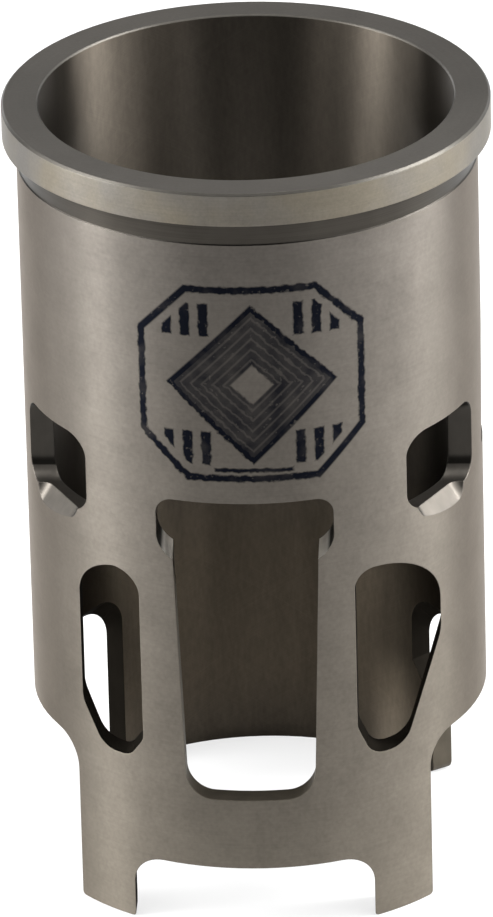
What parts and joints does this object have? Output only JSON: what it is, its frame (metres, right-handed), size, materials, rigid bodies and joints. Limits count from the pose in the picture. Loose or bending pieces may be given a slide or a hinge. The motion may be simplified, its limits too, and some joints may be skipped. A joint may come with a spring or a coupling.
{
  "type": "cylinder liner",
  "caption": "Flanged cast-iron cylinder liner for a two-stroke engine, with an intake window, slots, transfer ports and a cut-away skirt.",
  "frame": {"origin": "on the bore's axis, in the plane of the skirt's feet", "axes": "+Z along the bore towards the flange, -Y towards the intake window, +Y towards the exhaust port"},
  "size_m": [0.0776, 0.0776, 0.13],
  "materials": {
    "liner_iron": "ground"
  },
  "bodies": {
    "root": {"cylinder_liner": "liner_iron"}
  },
  "joints": []
}
